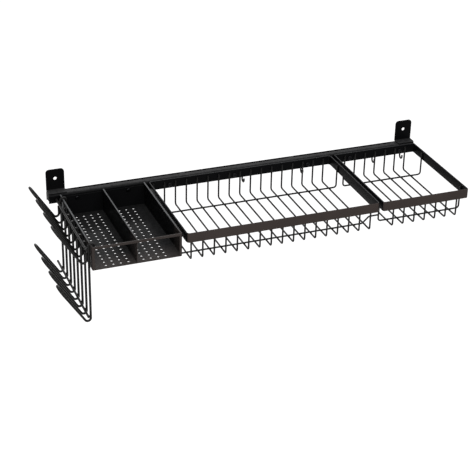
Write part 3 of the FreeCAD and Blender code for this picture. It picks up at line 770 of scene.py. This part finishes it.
class DISHRACK_OT_cutlery_box(bpy.types.Operator):
    """Folded cutlery box with its hemmed edges, and its divider"""

    bl_idname = "dishrack.cutlery_box"
    bl_label = "Cutlery Box"

    def execute(self, context):
        sizes = context.scene.dishrack_sheet
        for name, node in (("cutlery_tray", "cutlery_box"), ("tray_divider", "cutlery_divider")):
            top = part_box(node)[1].z

            def along_top(edge, level=top):
                return all(abs(vert.co.z - level) < sizes.fold_edge for vert in edge.verts)

            piece = softened_copy(name, node, sizes.fold_edge, box_coat(), sizes.hem_roll, along_top)
            hand_over(piece, "rack", [node])
        return {"FINISHED"}


class DISHRACK_OT_rims(bpy.types.Operator):
    """Flat bar rims of the plate rack and the fruit basket"""

    bl_idname = "dishrack.rims"
    bl_label = "Rims"

    def execute(self, context):
        sizes = context.scene.dishrack_sheet
        rims = (
            ("plate_rim", "plate_rack_rim", sizes.rack_corner),
            ("fruit_rim", "fruit_basket_rim", sizes.basket_corner),
        )
        for name, node, corner in rims:
            low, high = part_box(node)
            loop = rounded_loop(low, high, corner, sizes.corner_steps)
            section = bar_section(sizes.bar_wall, low.z, high.z, sizes.bar_edge)
            hand_over(sweep_loop(name, loop, section, rim_coat()), "rack", [node])
        return {"FINISHED"}


class DISHRACK_OT_cross_wires(bpy.types.Operator):
    """Square U wires of the plate rack and the fruit basket"""

    bl_idname = "dishrack.cross_wires"
    bl_label = "Cross Wires"

    def execute(self, context):
        sizes = context.scene.dishrack_wires
        for name, nodes in (("plate_wires", PLATE_WIRES), ("fruit_wires", FRUIT_WIRES)):
            pitch = (middle(nodes[-1]) - middle(nodes[0])) / (len(nodes) - 1)
            points, radius = trough(nodes[0], 1)
            piece = bent_wire(name, points, [sizes.basket_bend] * 2, radius, len(nodes), pitch)
            hand_over(piece, "rack", nodes)
        return {"FINISHED"}


class DISHRACK_OT_runners(bpy.types.Operator):
    """Long wires that lie on the cross wires"""

    bl_idname = "dishrack.runners"
    bl_label = "Runners"

    def execute(self, context):
        sizes = context.scene.dishrack_wires
        for node in ("plate_rack_rear_runner", "fruit_basket_front_runner", "fruit_basket_rear_runner"):
            points, radius = trough(node, 0)
            piece = bent_wire(node + "_wire", points, [sizes.runner_bend] * 2, radius)
            hand_over(piece, "rack", [node])
        node = "plate_rack_front_runner"
        low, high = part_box(node)
        radius = (high.y - low.y) / 2
        sheet = context.scene.dishrack_sheet
        jog_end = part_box("plate_rack_rim")[1].x - sheet.bar_wall - sheet.rack_corner
        y = middle(node).y
        jog_start = jog_end - sizes.jog_run
        bottom, top = low.z + radius, high.z - radius
        points = [(low.x, y, bottom), (jog_start, y, bottom), (jog_end, y, top), (high.x, y, top)]
        piece = bent_wire(node + "_wire", points, [sizes.jog_bend] * 2, radius)
        hand_over(piece, "rack", [node])
        return {"FINISHED"}


class DISHRACK_OT_hook_rail(bpy.types.Operator):
    """Rail under the beam, and the tabs that hold it"""

    bl_idname = "dishrack.hook_rail"
    bl_label = "Hook Rail"

    def execute(self, context):
        low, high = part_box("hook_rail")
        centre = middle("hook_rail")
        radius = (high.z - low.z) / 2
        points = [(low.x, centre.y, centre.z), (0.0, centre.y, centre.z), (high.x, centre.y, centre.z)]
        piece = bent_wire("rail_rod", points, [0.0], radius)
        hand_over(piece, "rack", ["hook_rail"])
        edge = context.scene.dishrack_sheet.fold_edge
        tabs = softened_copy("rail_tabs", "hook_rail_tabs", edge, sheet_coat())
        hand_over(tabs, "rack", ["hook_rail_tabs"])
        return {"FINISHED"}


class DISHRACK_OT_hooks(bpy.types.Operator):
    """Loose S hooks on the rail"""

    bl_idname = "dishrack.hooks"
    bl_label = "Hooks"

    def execute(self, context):
        sizes = context.scene.dishrack_wires
        eye = middle("hook_rail")
        rail_radius = thickness("hook_rail", 2) / 2
        for number, node in enumerate(HOOKS, start=1):
            radius = thickness(node, 0) / 2
            upper = rail_radius + sizes.hook_clearance + radius
            lower = sizes.hook_crook
            x = middle(node).x
            crook_y = eye.y + upper - lower
            crook_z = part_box(node)[0].z + radius + lower
            points = []
            for step in range(sizes.hook_steps + 1):
                angle = sizes.hook_mouth * (1 - step / sizes.hook_steps)
                points.append((x, eye.y + upper * math.cos(angle), eye.z + upper * math.sin(angle)))
            for step in range(sizes.hook_steps + 1):
                angle = -math.pi * step / sizes.hook_steps
                points.append((x, crook_y + lower * math.cos(angle), crook_z + lower * math.sin(angle)))
            points.append((x, crook_y - lower, crook_z + sizes.hook_tip))
            piece = bent_wire("hook_%d" % number, points, [0.0] * (len(points) - 2), radius)
            hand_over(piece, "hook_%d" % number, [node])
        return {"FINISHED"}


def fold_reach(sizes):
    """Distance from a holder's corner point, where leg and prong meet, to where its bend starts."""
    return sizes.holder_bend * math.tan((QUARTER_TURN + sizes.holder_angle) / 2)


def holder_route(x, near, far, foot, sizes):
    """Fold at the foot of one leg, out along the prong, round its end and back."""
    length = fold_reach(sizes) + sizes.holder_prong + abs(near - far) / 2
    tip_x = x - math.cos(sizes.holder_angle) * length
    tip_z = foot + math.sin(sizes.holder_angle) * length
    return [(x, near, foot), (tip_x, near, tip_z), (tip_x, far, tip_z), (x, far, foot)]


def fold_level(node, radius, sizes):
    """Height of the corner point under a holder's fold, from the lowest point of its wire."""
    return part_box(node)[0].z + radius - (fold_reach(sizes) - sizes.holder_bend)


class DISHRACK_OT_mug_rack(bpy.types.Operator):
    """Holders of the mug rack and the two rails that join them"""

    bl_idname = "dishrack.mug_rack"
    bl_label = "Mug Rack"

    def execute(self, context):
        sizes = context.scene.dishrack_wires
        radius = thickness("mug_rack_low_rail", 0) / 2
        inner = LOWER_HOLDERS[1:3]
        pair_low, pair_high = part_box(inner[0])
        near, far = pair_high.y - radius, pair_low.y + radius
        x = pair_high.x - radius
        foot = fold_level(inner[0], radius, sizes)
        pitch = (middle(inner[1]) - middle(inner[0])).y
        bends = [sizes.holder_bend] + [abs(near - far) / 2] * 2 + [sizes.holder_bend]

        def wire(name, points, bends, nodes, count=1):
            piece = bent_wire(name, points, bends, radius, count, Vector((0.0, pitch, 0.0)))
            hand_over(piece, "mug_rack", nodes)

        points = [(x, near, pair_high.z)] + holder_route(x, near, far, foot, sizes) + [(x, far, pair_high.z)]
        wire("lower_holders", points, bends, inner, len(inner))
        inside = x + sizes.crook_bend * 2
        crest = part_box(LOWER_HOLDERS[0])[1].z - radius
        crook = [(inside, crest - sizes.crook_bend - sizes.crook_reach), (inside, crest), (x, crest)]
        crook_bends = [sizes.crook_bend] * 2
        here, there = near - pitch, far - pitch
        hung = [(px, here, pz) for px, pz in crook]
        points = hung + holder_route(x, here, there, foot, sizes) + [(x, there, pair_high.z)]
        wire("rear_holder", points, crook_bends + bends, LOWER_HOLDERS[:1])
        here, there = near + pitch * 2, far + pitch * 2
        hung = [(px, there, pz) for px, pz in reversed(crook)]
        points = [(x, here, pair_high.z)] + holder_route(x, here, there, foot, sizes) + hung
        wire("front_holder", points, bends + crook_bends, LOWER_HOLDERS[3:])
        upper_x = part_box(UPPER_HOLDERS[0])[1].x - radius
        foot = fold_level(UPPER_HOLDERS[0], radius, sizes)
        stem_top = foot + fold_reach(sizes) + sizes.holder_stem
        here, there = near - pitch, far - pitch
        route = holder_route(upper_x, here, there, foot, sizes)
        points = [(upper_x, here, stem_top)] + route + [(upper_x, there, stem_top)]
        wire("upper_holders", points, bends, UPPER_HOLDERS, len(UPPER_HOLDERS))
        for name, node in (("top_rail", "mug_rack_top_rail"), ("low_rail", "mug_rack_low_rail")):
            low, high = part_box(node)
            centre = middle(node)
            wire(name, [(centre.x, low.y, centre.z), centre, (centre.x, high.y, centre.z)], [0.0], [node])
        return {"FINISHED"}


class DISHRACK_OT_welds(bpy.types.Operator):
    """Weld beads where wires meet rims, runners and rails"""

    bl_idname = "dishrack.welds"
    bl_label = "Welds"

    def execute(self, context):
        sizes = context.scene.dishrack_welds
        wall = context.scene.dishrack_sheet.bar_wall
        width, length = sizes.bead_width, sizes.bead_length
        hand_over(self.rack_beads(wall, width, length), "rack", [])
        hand_over(self.mug_rack_beads(width, length), "mug_rack", [])
        return {"FINISHED"}

    def rack_beads(self, wall, width, length):
        """Upright beads beside each wire on both bars of a rim, and a lump where it meets a runner."""
        off_bar_share, beside_share, above_share, flat_share = 0.4, 0.82, 1.2, 0.8
        lump_share, lump_flat_share = 1.05, 0.7
        beads = []
        for nodes, module in ((PLATE_WIRES, "plate_rack"), (FRUIT_WIRES, "fruit_basket")):
            rim_low, rim_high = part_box(module + "_rim")
            off_bar = wall + width * off_bar_share
            for node in nodes:
                radius = thickness(node, 0) / 2
                x = middle(node).x
                for side in (-1.0, 1.0):
                    for y in (rim_low.y + off_bar, rim_high.y - off_bar):
                        place = (x + side * radius * beside_share, y, rim_low.z + length * above_share)
                        beads.append((place, (width, width * flat_share, length)))
                lump = radius * lump_share
                for runner in (module + "_front_runner", module + "_rear_runner"):
                    runner_low, runner_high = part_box(runner)
                    if runner_low.x < x < runner_high.x:
                        place = (x, middle(runner).y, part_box(node)[0].z + radius * 2)
                        beads.append((place, (lump, lump, width * lump_flat_share)))
        return weld_beads("rack_welds", beads)

    def mug_rack_beads(self, width, length):
        """Lumps where the lower holders meet the rails, and beads beside the upper holders' stems."""
        lump_share, apart_share, stem_share, long_share = 1.05, 0.6, 6.0, 1.3
        beads = []
        radius = thickness("mug_rack_low_rail", 0) / 2
        lump = radius * lump_share
        for node in LOWER_HOLDERS:
            low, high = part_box(node)
            for y in (low.y + radius, high.y - radius):
                for rail in ("mug_rack_top_rail", "mug_rack_low_rail"):
                    centre = middle(rail)
                    beads.append(((centre.x + radius, y, centre.z), (width, lump, lump)))
        for node in UPPER_HOLDERS:
            low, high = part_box(node)
            for y in (low.y + radius, high.y - radius):
                for side in (-1.0, 1.0):
                    place = (high.x, y + side * radius * apart_share, low.z + radius * stem_share)
                    beads.append((place, (width, width, length * long_share)))
        return weld_beads("mug_rack_welds", beads)


class DISHRACK_OT_fasteners(bpy.types.Operator):
    """Screws and nuts that hold the modules"""

    bl_idname = "dishrack.fasteners"
    bl_label = "Fasteners"

    def execute(self, context):
        edge = context.scene.dishrack_sheet.screw_edge
        for name, node in (("pan_screws", "module_screws"), ("thin_nuts", "module_nuts")):
            hand_over(softened_copy(name, node, edge, black_zinc()), "rack", [node])
        return {"FINISHED"}


# Studio


def seen_rays(tree):
    """1 for rays that the camera sees directly, in a reflection or through glass."""
    path = tree.nodes.new("ShaderNodeLightPath")
    seen = math_node(tree, "MAXIMUM", path.outputs["Is Camera Ray"], path.outputs["Is Glossy Ray"])
    return math_node(tree, "MAXIMUM", seen, path.outputs["Is Transmission Ray"])


def paper(name, colour, glow):
    """Matt stage material that also glows where it is seen, so that it reads as paper white."""
    matt_roughness, matt_shine = 0.9, 0.1
    material = bpy.data.materials.new(name)
    material.use_nodes = True
    tree = material.node_tree
    shader = tree.nodes["Principled BSDF"]
    shader.inputs["Base Color"].default_value = (*colour, 1.0)
    shader.inputs["Roughness"].default_value = matt_roughness
    shader.inputs["Specular IOR Level"].default_value = matt_shine
    shader.inputs["Emission Color"].default_value = WHITE
    tree.links.new(math_node(tree, "MULTIPLY", seen_rays(tree), glow), shader.inputs["Emission Strength"])
    return material


# Each softbox's name, place, aim, width and height in metres, and power in watts
SOFTBOXES = (
    ("front_softbox", (-0.4, -2.6, 1.0), (0.0, -0.1, -0.05), 1.8, 0.8, 46.0),
    ("top_softbox", (-0.3, 0.5, 2.2), (0.0, -0.1, 0.0), 2.4, 0.9, 12.0),
    ("back_softbox", (0.5, 2.4, 1.5), (0.0, -0.1, 0.0), 2.2, 0.5, 14.0),
)


class DISHRACK_OT_stage(bpy.types.Operator):
    """Pale floor, soft studio light and the camera"""

    bl_idname = "dishrack.stage"
    bl_label = "Stage"

    def execute(self, context):
        studio = context.scene.dishrack_studio
        half = studio.floor_half
        mesh = bpy.data.meshes.new("floor")
        corners = ((-half, -half), (half, -half), (half, half), (-half, half))
        mesh.from_pydata([(x, y, -studio.floor_drop) for x, y in corners], [], [(0, 1, 2, 3)])
        new_piece("floor", mesh, paper("floor_paper", studio.floor_colour, studio.floor_glow))
        self.light(context)
        self.world(context, studio)
        self.camera(context, studio)
        context.scene.view_settings.view_transform = "Standard"
        return {"FINISHED"}

    def light(self, context):
        for name, place, aim, width, height, power in SOFTBOXES:
            lamp = bpy.data.lights.new(name, "AREA")
            lamp.shape = "RECTANGLE"
            lamp.size = width
            lamp.size_y = height
            lamp.energy = power
            item = bpy.data.objects.new(name, lamp)
            way = Vector(aim) - Vector(place)
            item.matrix_world = Matrix.Translation(place) @ way.to_track_quat("-Z", "Y").to_matrix().to_4x4()
            context.scene.collection.objects.link(item)

    def world(self, context, studio):
        world = bpy.data.worlds.new("studio")
        world.use_nodes = True
        tree = world.node_tree
        back = tree.nodes["Background"]
        back.inputs["Color"].default_value = WHITE
        extra = math_node(tree, "MULTIPLY", seen_rays(tree), 1.0 - studio.world_strength)
        tree.links.new(math_node(tree, "ADD", extra, studio.world_strength), back.inputs["Strength"])
        context.scene.world = world

    def camera(self, context, studio):
        camera = bpy.data.cameras.new("camera")
        camera.lens = studio.camera_lens
        camera.sensor_width = 36.0
        item = bpy.data.objects.new("camera", camera)
        heading = Matrix.Rotation(-studio.camera_heading, 4, "Z")
        dip = Matrix.Rotation(QUARTER_TURN - studio.camera_dip, 4, "X")
        roll = Matrix.Rotation(studio.camera_roll, 4, "Z")
        item.matrix_world = Matrix.Translation(studio.camera_place) @ heading @ dip @ roll
        context.scene.collection.objects.link(item)
        context.scene.camera = item


OPERATORS = (
    DISHRACK_OT_stage,
    DISHRACK_OT_wall_brackets,
    DISHRACK_OT_beam,
    DISHRACK_OT_cutlery_box,
    DISHRACK_OT_rims,
    DISHRACK_OT_cross_wires,
    DISHRACK_OT_runners,
    DISHRACK_OT_hook_rail,
    DISHRACK_OT_hooks,
    DISHRACK_OT_mug_rack,
    DISHRACK_OT_welds,
    DISHRACK_OT_fasteners,
)
GROUPS = {
    "dishrack_wires": DISHRACK_PG_wires,
    "dishrack_sheet": DISHRACK_PG_sheet,
    "dishrack_welds": DISHRACK_PG_welds,
    "dishrack_finish": DISHRACK_PG_finish,
    "dishrack_studio": DISHRACK_PG_studio,
}


class DISHRACK_PT_panel(bpy.types.Panel):
    """Sidebar panel with a button for each group of pieces"""

    bl_idname = "DISHRACK_PT_panel"
    bl_label = "Wall Dish Rack"
    bl_space_type = "VIEW_3D"
    bl_region_type = "UI"
    bl_category = "Dish Rack"

    def draw(self, context):
        for operator in OPERATORS:
            self.layout.operator(operator.bl_idname)


def register():
    for group in GROUPS.values():
        bpy.utils.register_class(group)
    for operator in OPERATORS:
        bpy.utils.register_class(operator)
    bpy.utils.register_class(DISHRACK_PT_panel)
    for name, group in GROUPS.items():
        setattr(bpy.types.Scene, name, PointerProperty(type=group))


def unregister():
    for name in GROUPS:
        delattr(bpy.types.Scene, name)
    bpy.utils.unregister_class(DISHRACK_PT_panel)
    for operator in reversed(OPERATORS):
        bpy.utils.unregister_class(operator)
    for group in GROUPS.values():
        bpy.utils.unregister_class(group)


def main():
    """Build every piece in order."""
    register()
    for operator in OPERATORS:
        area, name = operator.bl_idname.split(".")
        getattr(getattr(bpy.ops, area), name)()


if __name__ == "__main__":
    main()
